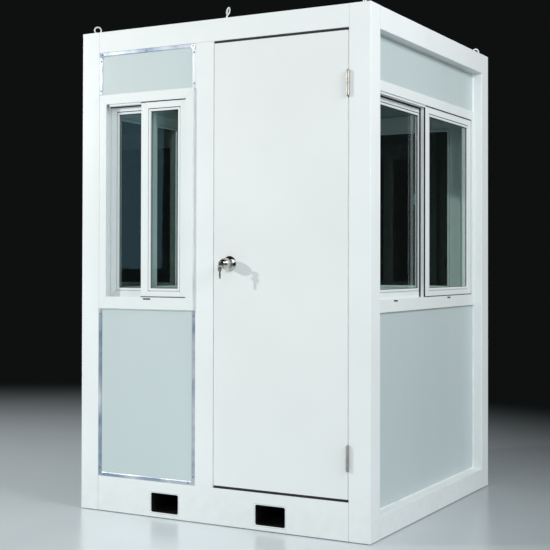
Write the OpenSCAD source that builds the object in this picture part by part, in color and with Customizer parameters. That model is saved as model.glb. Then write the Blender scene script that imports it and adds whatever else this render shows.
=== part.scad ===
// Portable guard cabin: a welded box-tube frame on two fork pockets, with sandwich-panel walls,
// a sliding window in every wall and one hinged door beside the front window.
// Millimetres. X runs right along the front, Y to the back, Z up.
// The origin is on the ground at the centre of the footprint.

/* [Cabin] */
// Width over the corner posts, along the front
cabin_w = 1500; // [1250:10:2400]
// Depth over the corner posts, front to back
cabin_d = 1500; // [1000:10:2400]
// Height of the frame, without the lifting eyes
cabin_h = 2250; // [2150:10:2700]

/* [Frame] */
// Side of the square corner posts and depth of all rails
post_w = 100; // [80:5:120]
// Height of the top rails
top_rail_h = 100; // [60:5:140]
// Height of the base rails under the two side walls
side_rail_h = 100; // [60:5:150]
// Width of the mullion between the front window and the door
mullion_w = 95; // [60:5:120]
// How far the side and rear walls are set back from the frame's outer face
wall_recess = 50; // [20:5:50]
// How far the front panels are set back, which is the thickness of their metal trims
front_recess = 2; // [1:0.5:4]

/* [Panels] */
// Thickness of the sandwich wall panels
panel_t = 50; // [30:5:50]
// Thickness of the ceiling panel
ceiling_t = 50; // [30:5:60]
// Thickness of the steel roof sheet
roof_t = 3; // [2:1:8]
// Thickness of the floor deck
deck_t = 48; // [30:2:80]
// Width of the bearer that crosses under the middle of the deck
bearer_w = 50; // [30:5:80]
// Width of the metal trims around the front panels
trim_w = 18; // [10:1:30]

/* [Fork pockets] */
// Clear width of each pocket
pocket_w = 148; // [120:2:200]
// Clear height of each pocket
pocket_h = 88; // [60:2:110]
// Distance between the centres of the two pockets
pocket_pitch = 550; // [400:10:700]
// Height of the pocket opening above the ground
pocket_z = 22; // [10:1:40]
// Wall of the pocket tube
pocket_wall = 4; // [3:0.5:8]
// Corner radius of the pocket opening
pocket_r = 8; // [4:1:16]

/* [Windows] */
// Height of the window sills above the ground
window_z = 948; // [850:1:1000]
// Height of the window units
window_h = 1000; // [800:10:1080]
// How far a window frame stands proud of its wall
window_proud = 12; // [4:1:20]
// Width of a window frame's jambs
jamb_w = 38; // [30:1:50]
// Height of a window frame's head
head_h = 44; // [30:1:60]
// Height of a window frame's sill
frame_sill_h = 55; // [40:1:70]
// Width of the sash profiles
sash_w = 52; // [40:1:60]
// Thickness of the sash profiles
sash_t = 25; // [16:1:30]
// Thickness of the glass
glass_t = 5; // [4:1:8]

/* [Door] */
// Width of the door leaf
leaf_w = 655; // [580:5:700]
// Thickness of the door leaf
leaf_t = 50; // [36:1:50]
// Gap beside the leaf, on both edges
leaf_side_gap = 5.5; // [5:0.5:8]
// Gap above the leaf
leaf_top_gap = 11; // [6:1:16]
// Gap below the leaf
leaf_bottom_gap = 12; // [6:1:16]
// How much the latch edge is bevelled over the leaf's thickness, so that it clears the mullion
leaf_bevel = 3; // [3:0.5:5]
// Height of the door stops over the edge of the opening
stop_w = 15; // [10:1:25]
// Thickness of the door stops
stop_t = 20; // [10:1:25]
// Gap between the closed leaf and the stops, for the seal
stop_gap = 5; // [5:0.5:8]

/* [Hinges] */
// Height of a hinge's two knuckles together
hinge_h = 102; // [75:1:125]
// Distance from the bottom of the leaf to the middle of the lower hinge
hinge_low = 173; // [120:1:300]
// Distance from the top of the leaf to the middle of the upper hinge
hinge_high = 224; // [120:1:300]
// Radius of the knuckles
knuckle_r = 6.5; // [5:0.5:8]
// Radius of the hinge pin
pin_r = 3; // [2:0.5:4]
// Thickness of the hinge plates
hinge_plate_t = 2.3; // [1.5:0.1:2.5]

/* [Lock] */
// Height of the knob's axis above the bottom of the leaf
knob_z = 984; // [900:1:1100]
// Distance of the knob's axis from the leaf's latch edge
backset = 79; // [55:1:100]
// Radius of the knobs
knob_r = 26; // [20:1:30]
// How far a knob reaches from the leaf
knob_reach = 64; // [55:1:75]
// Radius of the roses behind the knobs
rose_r = 34; // [28:1:38]

/* [Lifting eyes] */
// Outer diameter of the eyes
eye_d = 38; // [30:1:60]
// Diameter of the eyes' round bar
eye_bar = 7; // [5:1:12]
// Height of the shank under each middle eye
eye_shank_h = 20; // [10:1:40]
// How far the middle eyes stand to the right of the rail's middle
eye_shift = 18; // [0:1:40]
// Lean of the middle eyes to the right
eye_lean = 16; // [0:1:20]
// Turn of the middle eyes about their shanks
eye_turn = 12; // [-45:1:45]

/* [Hidden] */
$fn = 48;
cut = 1; // how far cutting shapes pass the faces they cut

// Outer faces and the frame's inner faces
half_w = cabin_w / 2;
half_d = cabin_d / 2;
rail_z = cabin_h - top_rail_h;
pocket_outer_w = pocket_w + 2 * pocket_wall;
pocket_outer_h = pocket_h + 2 * pocket_wall;
deck_z = pocket_z + pocket_h + pocket_wall;
sill_h = deck_z + deck_t;

// Front wall, from left to right: post, window bay, mullion, door opening, post
door_x1 = half_w - post_w;
door_x0 = door_x1 - leaf_w - 2 * leaf_side_gap;
mullion_x0 = door_x0 - mullion_w;
front_bay_w = mullion_x0 + half_w - post_w;
front_bay_x = mullion_x0 - front_bay_w / 2;
side_bay_w = cabin_d - 2 * post_w;
rear_bay_w = cabin_w - 2 * post_w;
window_top = window_z + window_h;
mitre_seam = 1;

// Sliding window section: two tracks between three lips, measured inwards from the outer face
lip_t = 4;
sash_play = 2;
track_depth = 8;
sash_lap = 6;
sill_track_depth = 11;
track_t = sash_t + 2 * sash_play;
track_v = [lip_t, 2 * lip_t + track_t];
window_d = track_v[1] + track_t + lip_t;
glass_lap = 10;
sash_z = [frame_sill_h - sill_track_depth, window_h - head_h + sash_lap];

// Gap at each side of a window, for sealant. It also keeps two window frames that stand
// into the cabin apart where they meet in a corner.
corner_clear = 1;
window_gap = max(5, wall_recess - window_proud + window_d - post_w + corner_clear);

// Crescent latch: plate, boss and lever
latch_plate = [20, 6, 80];
latch_boss_r = 10;
latch_boss_h = 10;
latch_lever = [12, 6, 46];

// Door leaf, in cabin coordinates
leaf_x0 = door_x0 + leaf_side_gap;
leaf_x1 = door_x1 - leaf_side_gap;
leaf_z0 = sill_h + leaf_bottom_gap;
leaf_z1 = rail_z - leaf_top_gap;
knob_x = leaf_x0 + backset;
knob_height = leaf_z0 + knob_z;

// Hinge axis: in the middle of the side gap, proud of the front face
hinge_x = door_x1 - leaf_side_gap / 2;
knuckle_clear = 0.5; // between a knuckle and the cabin's front face
hinge_y = -half_d - knuckle_r - knuckle_clear;
plate_y = [-half_d + 1, -half_d + 35]; // front and rear edges of a hinge plate
hinge_zs = [leaf_z0 + hinge_low, leaf_z1 - hinge_high];
knuckle_gap = 0.5; // between the two knuckles of a hinge
pin_play = 0.05;
tip_h = 5;
tip_r = knuckle_r - 1;

// Lockset
rose_t = 8;
neck_r = 11;
neck_play = 0.05;
knob_mid = knob_reach - knob_r + 3; // middle of the knob's ball, from the leaf's face
knob_foot = rose_t + 4; // where the ball is cut flat, facing the rose
keyway_r = 8;
keyway_depth = 1;
lock_bore_r = 16;
faceplate_w = 25;
faceplate_h = 57;
faceplate_t = 2;
bolt_hole_size = [24, 14, 18];

// Keys: the bow is a disc with a hole, and the ring hangs in that hole
key_t = 2.2;
bow_r = 11;
key_hole_r = 3.5;
key_stub = 6;
blade_h = 7;
blade_root = 2; // how far a blade reaches into its bow
spare_blade = 32;
spare_step = 2; // from the ring's middle to each spare key
ring_r = 9.5;
ring_wire = 1;
ring_play = 0.2;
bow_y = -half_d - knob_reach - key_stub - bow_r;
ring_top = knob_height - key_hole_r + ring_wire + ring_play;
ring_z = ring_top - ring_r;
spare_z = ring_z - ring_r + ring_wire + ring_play - key_hole_r;

// Lifting eyes
eye_foot_h = 4;
corner_shank_h = 1;

// Box given by its lowest and highest corners
module box(low, high) {
    translate(low) cube(high - low);
}

// Rectangle with round corners, centred
module rounded_rect(size, r) {
    square([size[0] - 2 * r, size[1]], center = true);
    square([size[0], size[1] - 2 * r], center = true);
    for (sx = [-1, 1], sy = [-1, 1])
        translate([sx * (size[0] / 2 - r), sy * (size[1] / 2 - r)]) circle(r);
}

// Places children drawn for a wall: X along it, Y inwards from its outer face, Z up
module on_wall(side) {
    turn = side == "front" ? 0 : side == "right" ? 90 : side == "rear" ? 180 : 270;
    reach = side == "front" || side == "rear" ? half_d : half_w;
    rotate([0, 0, turn]) translate([0, -reach, 0]) children();
}

// Horizontal rail of the frame on one wall, between the corner posts
module rail(side, low, high) {
    length = side == "front" || side == "rear" ? rear_bay_w : side_bay_w;
    on_wall(side) box([-length / 2, 0, low], [length / 2, post_w, high]);
}

// Base rail with the two openings that the fork pocket tubes pass through
module pocket_rail(side) {
    color("whitesmoke") difference() {
        rail(side, 0, sill_h);
        at_pockets() cube([pocket_outer_w, cabin_d + 2 * cut, pocket_outer_h], center = true);
    }
}

module side_base_rail(side) {
    color("whitesmoke") rail(side, 0, side_rail_h);
}

// Copies children to the middle of both fork pockets
module at_pockets() {
    for (s = [-1, 1])
        translate([s * pocket_pitch / 2, 0, pocket_z + pocket_h / 2]) children();
}

module fork_pockets() {
    color("whitesmoke") at_pockets() rotate([90, 0, 0])
        linear_extrude(cabin_d, center = true) difference() {
            square([pocket_outer_w, pocket_outer_h], center = true);
            rounded_rect([pocket_w, pocket_h], pocket_r);
        }
}

module corner_post(sx, sy) {
    color("whitesmoke") translate([sx * (half_w - post_w / 2), sy * (half_d - post_w / 2), 0])
        linear_extrude(cabin_h) square(post_w, center = true);
}

module top_rail(side) {
    color("whitesmoke") rail(side, rail_z, cabin_h);
}

// Pocket for the strike plate in the mullion's door side
module strike_space(extra) {
    translate([door_x0 - faceplate_t, -half_d + leaf_t / 2, knob_height])
        translate([0, -faceplate_w / 2, -faceplate_h / 2])
            cube([faceplate_t + extra, faceplate_w, faceplate_h]);
}

// Hole for the latch bolt, through the strike plate and into the mullion
module bolt_hole() {
    translate([door_x0, -half_d + leaf_t / 2, knob_height]) cube(bolt_hole_size, center = true);
}

module door_mullion() {
    color("whitesmoke") difference() {
        box([mullion_x0, -half_d, sill_h], [door_x0, -half_d + post_w, rail_z]);
        strike_space(cut);
        bolt_hole();
    }
}

module strike_plate() {
    color("silver") difference() {
        strike_space(0);
        bolt_hole();
    }
}

// Cross-member between the side rails, which the fork pocket tubes pass through
module floor_bearer() {
    color("whitesmoke") difference() {
        box([-half_w + post_w, -bearer_w / 2, 0], [half_w - post_w, bearer_w / 2, deck_z]);
        at_pockets() cube([pocket_outer_w, cabin_d, pocket_outer_h], center = true);
    }
}

module floor_deck() {
    side = half_w - wall_recess - panel_t;
    color("slategray")
        box([-side, -half_d + post_w, deck_z], [side, half_d - post_w, sill_h]);
}

module ceiling_panel() {
    color("gainsboro") box([-half_w + post_w, -half_d + post_w, rail_z],
                           [half_w - post_w, half_d - post_w, rail_z + ceiling_t]);
}

module roof_sheet() {
    color("whitesmoke") box([-half_w + post_w, -half_d + post_w, cabin_h - roof_t],
                            [half_w - post_w, half_d - post_w, cabin_h]);
}

// Wall panel below or above a window: bay middle and width, set-back, and its two heights
module wall_panel(side, mid, width, recess, low, high) {
    color("lightgray") on_wall(side)
        box([mid - width / 2, recess, low], [mid + width / 2, recess + panel_t, high]);
}

// Three trims on the front face of a front panel: one at each side, and one across the bottom
// of the lower panel or the top of the upper one, with a narrow seam at the mitred corners
module panel_trims(low, high, upper) {
    h = high - low;
    inner = front_bay_w / 2 - trim_w;
    outer = front_bay_w / 2;
    translate([front_bay_x, front_recess - half_d, upper ? high : low])
        rotate([90, upper ? 180 : 0, 0]) linear_extrude(front_recess) {
            for (s = [-1, 1])
                polygon([[s * outer, mitre_seam], [s * outer, h], [s * inner, h],
                         [s * inner, trim_w + mitre_seam]]);
            polygon([[-outer, 0], [outer, 0], [inner, trim_w], [-inner, trim_w]]);
        }
}

module front_panel_trims() {
    color("lightsteelblue") {
        panel_trims(sill_h, window_z, false);
        panel_trims(window_top, rail_z, true);
    }
}

// Window unit, drawn with its bottom middle at the origin and its outer face at Y = 0
module at_window(side) {
    mid = side == "front" ? front_bay_x : 0;
    recess = side == "front" ? front_recess : wall_recess;
    on_wall(side) translate([mid, recess - window_proud, window_z]) children();
}

function window_w(side) =
    (side == "front" ? front_bay_w : side == "rear" ? rear_bay_w : side_bay_w) - 2 * window_gap;

module window_frame(side) {
    w = window_w(side);
    clear_w = w / 2 - jamb_w;
    color("whitesmoke") at_window(side) difference() {
        box([-w / 2, 0, 0], [w / 2, window_d, window_h]);
        box([-clear_w, -cut, frame_sill_h], [clear_w, window_d + cut, window_h - head_h]);
        for (v = track_v)
            box([-clear_w - track_depth, v, sash_z[0]],
                [clear_w + track_depth, v + track_t, window_h - head_h + track_depth]);
    }
}

// Low and high corners of a sash: number 0 runs in the outer track at the right,
// number 1 in the inner track at the left, and their inner stiles overlap at the middle
function sash_x(side, n) =
    let (reach = window_w(side) / 2 - jamb_w + sash_lap)
    n == 0 ? [-sash_w / 2, reach] : [-reach, sash_w / 2];

// Solid of a sash's outline, cut back on all sides and to a thickness around its middle plane
module sash_blank(side, n, inset, thick) {
    x = sash_x(side, n);
    v = track_v[n] + track_t / 2;
    box([x[0] + inset, v - thick / 2, sash_z[0] + inset],
        [x[1] - inset, v + thick / 2, sash_z[1] - inset]);
}

module window_sashes(side) {
    color("whitesmoke") at_window(side) for (n = [0, 1]) difference() {
        sash_blank(side, n, 0, sash_t);
        sash_blank(side, n, sash_w, sash_t + 2 * cut);
        sash_blank(side, n, sash_w - glass_lap, glass_t);
    }
}

module window_glass(side) {
    color("lightcyan", 0.4) at_window(side) for (n = [0, 1])
        sash_blank(side, n, sash_w - glass_lap, glass_t);
}

// Crescent latches on the inner sashes' middle stiles
module sash_latches() {
    face = track_v[1] + track_t - sash_play;
    color("gray") for (side = ["front", "right", "rear", "left"])
        at_window(side) translate([0, face, window_h / 2]) {
            translate([-latch_plate[0] / 2, 0, -latch_plate[2] / 2]) cube(latch_plate);
            rotate([-90, 0, 0]) cylinder(h = latch_plate[1] + latch_boss_h, r = latch_boss_r);
            translate([-latch_lever[0] / 2, latch_plate[1] + latch_boss_h - latch_lever[1], 0])
                cube(latch_lever);
        }
}

module door_stops() {
    y0 = -half_d + leaf_t + stop_gap;
    color("whitesmoke") difference() {
        box([door_x0, y0, sill_h], [door_x1, y0 + stop_t, rail_z]);
        box([door_x0 + stop_w, y0 - cut, sill_h + stop_w],
            [door_x1 - stop_w, y0 + stop_t + cut, rail_z - stop_w]);
    }
}

// Frame of reference of the bevelled latch edge, at the knob's height
module at_latch_edge() {
    translate([leaf_x0, -half_d, knob_height]) rotate([0, 0, -atan(leaf_bevel / leaf_t)])
        translate([0, leaf_t / 2, 0]) children();
}

module faceplate_space(extra) {
    at_latch_edge() translate([-extra, -faceplate_w / 2, -faceplate_h / 2])
        cube([faceplate_t + extra, faceplate_w, faceplate_h]);
}

module door_leaf() {
    color("whitesmoke") difference() {
        translate([0, -half_d, leaf_z0]) linear_extrude(leaf_z1 - leaf_z0)
            polygon([[leaf_x0, 0], [leaf_x1, 0], [leaf_x1, leaf_t], [leaf_x0 + leaf_bevel, leaf_t]]);
        faceplate_space(cut);
        translate([knob_x, -half_d - cut, knob_height]) rotate([-90, 0, 0])
            cylinder(h = leaf_t + 2 * cut, r = lock_bore_r);
    }
}

// Faceplate of the latch, with its bolt drawn in flush
module latch_faceplate() {
    color("silver") faceplate_space(0);
}

// Plate of a hinge between the post and the leaf, at one side of the axis, with the tongue
// that joins it to its knuckle between two heights
module hinge_plate(s, z, knuckle_low, knuckle_high) {
    x0 = hinge_x + s * (leaf_side_gap / 2 - hinge_plate_t);
    x1 = hinge_x + s * leaf_side_gap / 2;
    low_x = min(x0, x1);
    high_x = max(x0, x1);
    box([low_x, plate_y[0], z - hinge_h / 2], [high_x, plate_y[1], z + hinge_h / 2]);
    box([low_x, hinge_y, knuckle_low], [high_x, plate_y[0] + 1, knuckle_high]);
}

// Post side of both hinges: the lower knuckles with their pins
module hinge_fixed_leaves() {
    color("silver") for (z = hinge_zs) {
        hinge_plate(1, z, z - hinge_h / 2, z - knuckle_gap / 2);
        translate([hinge_x, hinge_y, z - hinge_h / 2]) {
            cylinder(h = hinge_h / 2 - knuckle_gap / 2, r = knuckle_r);
            cylinder(h = hinge_h, r = pin_r);
            translate([0, 0, -tip_h]) cylinder(h = tip_h, r1 = pin_r, r2 = tip_r);
        }
    }
}

// Door side of both hinges: the upper knuckles, which turn on the pins
module hinge_door_leaves() {
    color("silver") for (z = hinge_zs) difference() {
        union() {
            hinge_plate(-1, z, z + knuckle_gap / 2, z + hinge_h / 2);
            translate([hinge_x, hinge_y, z + knuckle_gap / 2])
                cylinder(h = hinge_h / 2 - knuckle_gap / 2, r = knuckle_r);
            translate([hinge_x, hinge_y, z + hinge_h / 2])
                cylinder(h = tip_h, r1 = tip_r, r2 = pin_r);
        }
        translate([hinge_x, hinge_y, z])
            cylinder(h = hinge_h / 2 + knuckle_gap, r = pin_r + pin_play);
    }
}

// Places a part of revolution on the knob's axis: Z outwards from the leaf's outer or inner face
module on_knob_axis(outer) {
    translate([knob_x, -half_d + (outer ? 0 : leaf_t), knob_height])
        rotate([outer ? 90 : -90, 0, 0]) children();
}

module knob_roses() {
    color("dimgray") for (outer = [true, false]) on_knob_axis(outer)
        rotate_extrude($fn = 64) polygon([
            [neck_r + neck_play, 0], [rose_r, 0], [rose_r, 2], [rose_r - 4, rose_t - 2],
            [rose_r - 9, rose_t], [neck_r + neck_play, rose_t]
        ]);
}

// Knob with its neck, which reaches to the middle of the leaf, where the two knobs are joined
module knob() {
    rotate_extrude($fn = 64) difference() {
        union() {
            translate([0, -leaf_t / 2]) square([neck_r, leaf_t / 2 + knob_mid]);
            intersection() {
                translate([0, knob_mid]) circle(knob_r);
                translate([0, knob_foot]) square([knob_r, knob_reach - knob_foot]);
            }
        }
        translate([-knob_r, -leaf_t]) square([knob_r, 2 * knob_reach + leaf_t]);
        translate([0, knob_reach - keyway_depth]) square([keyway_r, 2 * keyway_depth]);
    }
}

module outer_knob() {
    color("silver") on_knob_axis(true) knob();
}

module inner_knob() {
    color("silver") on_knob_axis(false) knob();
}

// Key bow: a disc in the plane that holds the knob's axis and the vertical
module key_bow() {
    rotate([0, 90, 0]) difference() {
        cylinder(h = key_t, r = bow_r, center = true);
        cylinder(h = key_t + 2 * cut, r = key_hole_r, center = true);
    }
}

module door_key() {
    keyway_y = -half_d - knob_reach + keyway_depth;
    color("silver") {
        translate([knob_x, bow_y, knob_height]) key_bow();
        box([knob_x - key_t / 2, bow_y + bow_r - blade_root, knob_height - blade_h / 2],
            [knob_x + key_t / 2, keyway_y, knob_height + blade_h / 2]);
    }
}

// Key ring with two spare keys hanging from it
module spare_keys() {
    color("silver") {
        translate([knob_x, bow_y, ring_z]) rotate([90, 0, 0])
            rotate_extrude() translate([ring_r, 0]) circle(ring_wire, $fn = 16);
        for (s = [-1, 1])
            translate([knob_x + s * spare_step, bow_y, spare_z]) {
                key_bow();
                box([-key_t / 2, -blade_h / 2, -bow_r - spare_blade],
                    [key_t / 2, blade_h / 2, -bow_r + blade_root]);
            }
    }
}

// Ring on a shank, standing on a round foot. The turn puts the ring across the front at 90.
module lifting_eye(shank, lean, turn) {
    cylinder(h = eye_foot_h, r = eye_bar);
    translate([0, 0, eye_foot_h / 2]) rotate([0, lean, 0]) rotate([0, 0, turn]) {
        cylinder(h = shank + eye_bar / 2, r = eye_bar / 2);
        translate([0, 0, shank + eye_d / 2]) rotate([0, 90, 0])
            rotate_extrude() translate([eye_d / 2 - eye_bar / 2, 0]) circle(eye_bar / 2, $fn = 24);
    }
}

module lifting_eyes() {
    inset = post_w / 2;
    color("whitesmoke") translate([0, 0, cabin_h]) {
        for (sx = [-1, 1], sy = [-1, 1])
            translate([sx * (half_w - inset), sy * (half_d - inset), 0])
                lifting_eye(corner_shank_h, 0, -sx * sy * 45);
        for (sy = [-1, 1])
            translate([eye_shift, sy * (half_d - inset), 0])
                lifting_eye(eye_shank_h, eye_lean, eye_turn);
    }
}

pocket_rail("front");  // base_rail_front
pocket_rail("rear");  // base_rail_rear
side_base_rail("left");  // base_rail_left
side_base_rail("right");  // base_rail_right
fork_pockets();
corner_post(-1, -1);  // corner_post_front_left
corner_post(1, -1);  // corner_post_front_right
corner_post(-1, 1);  // corner_post_rear_left
corner_post(1, 1);  // corner_post_rear_right
top_rail("front");  // top_rail_front
top_rail("rear");  // top_rail_rear
top_rail("left");  // top_rail_left
top_rail("right");  // top_rail_right
door_mullion();
floor_bearer();
floor_deck();
ceiling_panel();
roof_sheet();
wall_panel("front", front_bay_x, front_bay_w, front_recess, sill_h, window_z);  // front_panel_lower
wall_panel("front", front_bay_x, front_bay_w, front_recess, window_top, rail_z);  // front_panel_upper
wall_panel("rear", 0, rear_bay_w, wall_recess, sill_h, window_z);  // rear_panel_lower
wall_panel("rear", 0, rear_bay_w, wall_recess, window_top, rail_z);  // rear_panel_upper
wall_panel("left", 0, side_bay_w, wall_recess, side_rail_h, window_z);  // left_panel_lower
wall_panel("left", 0, side_bay_w, wall_recess, window_top, rail_z);  // left_panel_upper
wall_panel("right", 0, side_bay_w, wall_recess, side_rail_h, window_z);  // right_panel_lower
wall_panel("right", 0, side_bay_w, wall_recess, window_top, rail_z);  // right_panel_upper
front_panel_trims();
window_frame("front");  // window_frame_front
window_frame("rear");  // window_frame_rear
window_frame("left");  // window_frame_left
window_frame("right");  // window_frame_right
window_sashes("front");  // window_sashes_front
window_sashes("rear");  // window_sashes_rear
window_sashes("left");  // window_sashes_left
window_sashes("right");  // window_sashes_right
window_glass("front");  // window_glass_front
window_glass("rear");  // window_glass_rear
window_glass("left");  // window_glass_left
window_glass("right");  // window_glass_right
sash_latches();
door_stops();
strike_plate();
hinge_fixed_leaves();
lifting_eyes();
door_leaf();
hinge_door_leaves();
latch_faceplate();
knob_roses();
outer_knob();
inner_knob();
door_key();
spare_keys();
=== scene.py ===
# %% [markdown]
# # Portable guard cabin
#
# This file dresses a welded guard cabin: a square frame of white box tube on two fork
# pockets, with sandwich-panel walls, a sliding window in every wall and one hinged door.
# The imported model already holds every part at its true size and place, and each piece made
# below takes its place from it. Lengths are in millimetres until a mesh is made, as on a
# workshop drawing. Blender's own unit is the metre.

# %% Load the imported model
import math

import bmesh
import bpy
import numpy as np
from mathutils import Matrix, Vector


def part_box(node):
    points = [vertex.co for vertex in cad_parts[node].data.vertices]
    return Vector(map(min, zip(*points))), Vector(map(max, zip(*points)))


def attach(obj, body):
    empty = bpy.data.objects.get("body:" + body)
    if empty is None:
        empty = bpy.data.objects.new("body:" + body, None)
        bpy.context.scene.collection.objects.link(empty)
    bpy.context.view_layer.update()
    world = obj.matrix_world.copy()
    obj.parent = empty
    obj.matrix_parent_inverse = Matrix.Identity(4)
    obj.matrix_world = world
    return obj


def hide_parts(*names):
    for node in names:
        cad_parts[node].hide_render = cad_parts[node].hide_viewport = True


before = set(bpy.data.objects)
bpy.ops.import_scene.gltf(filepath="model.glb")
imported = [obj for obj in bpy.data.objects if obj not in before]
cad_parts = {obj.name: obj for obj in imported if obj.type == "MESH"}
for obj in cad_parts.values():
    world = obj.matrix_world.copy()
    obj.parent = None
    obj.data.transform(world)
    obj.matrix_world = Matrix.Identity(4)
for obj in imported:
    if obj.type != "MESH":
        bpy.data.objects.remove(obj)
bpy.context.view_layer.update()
MM = 0.001


# %% Where each CAD node is
def corners(node):
    """Lowest and highest corner of a CAD node at rest, in millimetres."""
    return [np.array(corner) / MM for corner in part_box(node)]


POST = corners("corner_post_front_left")
HALF = -POST[0][0]  # from the middle of the cabin to its outer faces
POST_W = POST[1][0] - POST[0][0]
TOP = POST[1][2]
RAIL_Z = corners("top_rail_front")[0][2]
print(f"cabin {2 * HALF:.0f} mm wide and {TOP:.0f} mm high, rails from {RAIL_Z:.0f} mm up")

# %% [markdown]
# ## Shapes as arrays
#
# Nearly everything on the cabin is an outline that keeps its shape along a line: tube,
# extruded aluminium, folded strip, a bead of sealant. Such a thing is a grid of points, with
# a row for each place along the line and a column for each point of the outline. A turned
# part such as the knob is the same grid, with the line bent into a circle. So a handful of
# functions makes them all, each from whole arrays of points at once.


# %% From a grid of points to faces
def grid(points, caps=True):
    """Surface on a grid of points (rows x columns x 3): a face between each two neighbouring rows
    and columns, with the last column joined to the first. caps closes both end rows."""
    index = np.arange(points[..., 0].size).reshape(points.shape[:2])
    right = np.roll(index, -1, axis=1)
    faces = np.stack([index[:-1], right[:-1], right[1:], index[1:]], axis=-1)
    faces = faces.reshape(-1, 4).tolist()
    if caps:
        faces += [index[0].tolist(), index[-1].tolist()]
    return points.reshape(-1, 3), faces


def merged(points, faces, kinds=0):
    """The surface with points that share a place made one. Faces with fewer than three corners
    left go, which closes seams and poles."""
    places, number = np.unique(np.round(points, 4), axis=0, return_inverse=True)
    short = [list(dict.fromkeys(number.reshape(-1)[face].tolist())) for face in faces]
    kept = [k for k, face in enumerate(short) if len(face) > 2]
    return places, [short[k] for k in kept], np.broadcast_to(kinds, len(faces))[kept].tolist()


def unit_length(vectors):
    """One vector in each row, all brought to a length of 1."""
    return vectors / np.linalg.norm(vectors, axis=1, keepdims=True)


# %% Outlines
def fillet(points, radius, steps=3):
    """Closed outline with round corners. Each arc's centre is radius / sin(half the corner's
    angle) away along the bisector, and its points are the two radii that touch the sides,
    blended by the sines of their shares of the turn."""
    points = np.array(points, float)
    radius = np.broadcast_to(np.array(radius, float), len(points))[:, None]
    back, ahead = (unit_length(np.roll(points, k, 0) - points) for k in (1, -1))
    half = np.arccos(np.clip((back * ahead).sum(1, keepdims=True), -1, 1)) / 2
    centre = points + unit_length(back + ahead) * radius / np.sin(half)
    first, last = (points + side * radius / np.tan(half) - centre for side in (back, ahead))
    turn = (np.pi - 2 * half)[:, None]
    share = np.linspace(0, 1, steps + 1)[None, :, None]
    arc = first[:, None] * np.sin((1 - share) * turn) + last[:, None] * np.sin(share * turn)
    arc = (centre[:, None] + arc / np.sin(turn)).reshape(-1, 2)
    return arc[np.linalg.norm(arc - np.roll(arc, 1, 0), axis=1) > 1e-6]


def inset(outline, distance):
    """Closed outline whose every side moves inwards by the distance: a point moves along the sum
    of its two sides' normals, divided by one plus their product."""
    ahead = np.roll(outline, -1, 0) - outline
    around = np.sign((outline[:, 0] * ahead[:, 1] - outline[:, 1] * ahead[:, 0]).sum())
    normal = around * unit_length(np.stack([-ahead[:, 1], ahead[:, 0]], 1))
    before = np.roll(normal, 1, 0)
    return outline + distance * (normal + before) / (1 + (normal * before).sum(1, keepdims=True))


def rectangle(low, high, radius, steps=3):
    """Rectangle between two corners, with round corners of one radius or of four."""
    (x0, y0), (x1, y1) = low, high
    return fillet([(x0, y0), (x1, y0), (x1, y1), (x0, y1)], radius, steps)


def circle(radius, count=16):
    """Points at equal angles, radius away from the middle."""
    angle = np.linspace(0, 2 * np.pi, count, endpoint=False)
    return radius * np.stack([np.cos(angle), np.sin(angle)], 1)


# %% Straight surfaces
def across(along):
    """Numbers of the two axes that lie across the one that a shape runs along."""
    return [k for k in range(3) if k != along]


def stacked(steps, along, caps=True):
    """Outlines stacked along an axis. A step is an outline, how far it is drawn inwards, and
    where it lies on the axis."""
    rings = np.empty((len(steps), len(steps[0][0]), 3))
    rings[..., across(along)] = [inset(outline, draw) for outline, draw, _ in steps]
    rings[..., along] = [[place] for *_, place in steps]
    return grid(rings, caps)


def prism(outline, low, high, along=2, end=0.6):
    """Outline carried straight from low to high. At both ends it draws in on a quarter circle:
    at the angle t, by end * (1 - sin t), a distance of end * (1 - cos t) from the end."""
    t = np.linspace(0, np.pi / 2, 3)
    rise = list(zip(end * (1 - np.sin(t)), end * (1 - np.cos(t))))
    steps = [(outline, s, low + d) for s, d in rise]
    return stacked(steps + [(outline, s, high - d) for s, d in rise[::-1]], along)


def bar(low, high, along=2, r=1.0, end=0.6):
    """Straight bar between two opposite corners, with long edges of radius r."""
    low, high = np.array(low, float), np.array(high, float)
    outline = rectangle(low[across(along)], high[across(along)], r)
    return prism(outline, low[along], high[along], along, end)


# %% Turned surfaces, and surfaces along a path
def turned(profile, origin, axis, count=48, closed=False):
    """Surface of revolution: origin + radius * (side * cos a + other * sin a) + height * axis,
    for each (radius, height) of the profile and each angle a. The axis is x, y or z, forwards
    or backwards. A closed profile makes a ring."""
    profile, axis = np.array(profile, float), np.array(axis, float)
    if closed:
        profile = np.concatenate([profile, profile[:1]])
    side = np.eye(3)[0 if axis[2] else 2]
    angle = np.linspace(0, 2 * np.pi, count, endpoint=False)[None, :, None]
    round_it = side * np.cos(angle) + np.cross(axis, side) * np.sin(angle)
    rings = np.array(origin) + profile[:, :1, None] * round_it + profile[:, 1:, None] * axis
    return grid(rings, caps=False)


def carried(outline, path, up, closed=False):
    """Outline carried along a path in one plane. Its first number goes along the path's direction
    crossed with up, and its second along up. Where the path turns, the outline lies in the
    mitre plane, wider by 1 / cos(half the turn)."""
    outline, path, up = (np.array(v, float) for v in (outline, path, up))
    if closed:
        path = np.concatenate([path, path[:1]])
    leg = unit_length(np.diff(path, axis=0))
    after = np.concatenate([leg, leg[:1] if closed else leg[-1:]])
    before = np.concatenate([leg[-1:] if closed else leg[:1], leg])
    side = unit_length(np.cross(before + after, up))
    side /= (side * np.cross(after, up)).sum(1, keepdims=True)
    rings = path[:, None] + outline[None, :, :1] * side[:, None] + outline[None, :, 1:] * up
    return grid(rings, caps=not closed)


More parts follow.
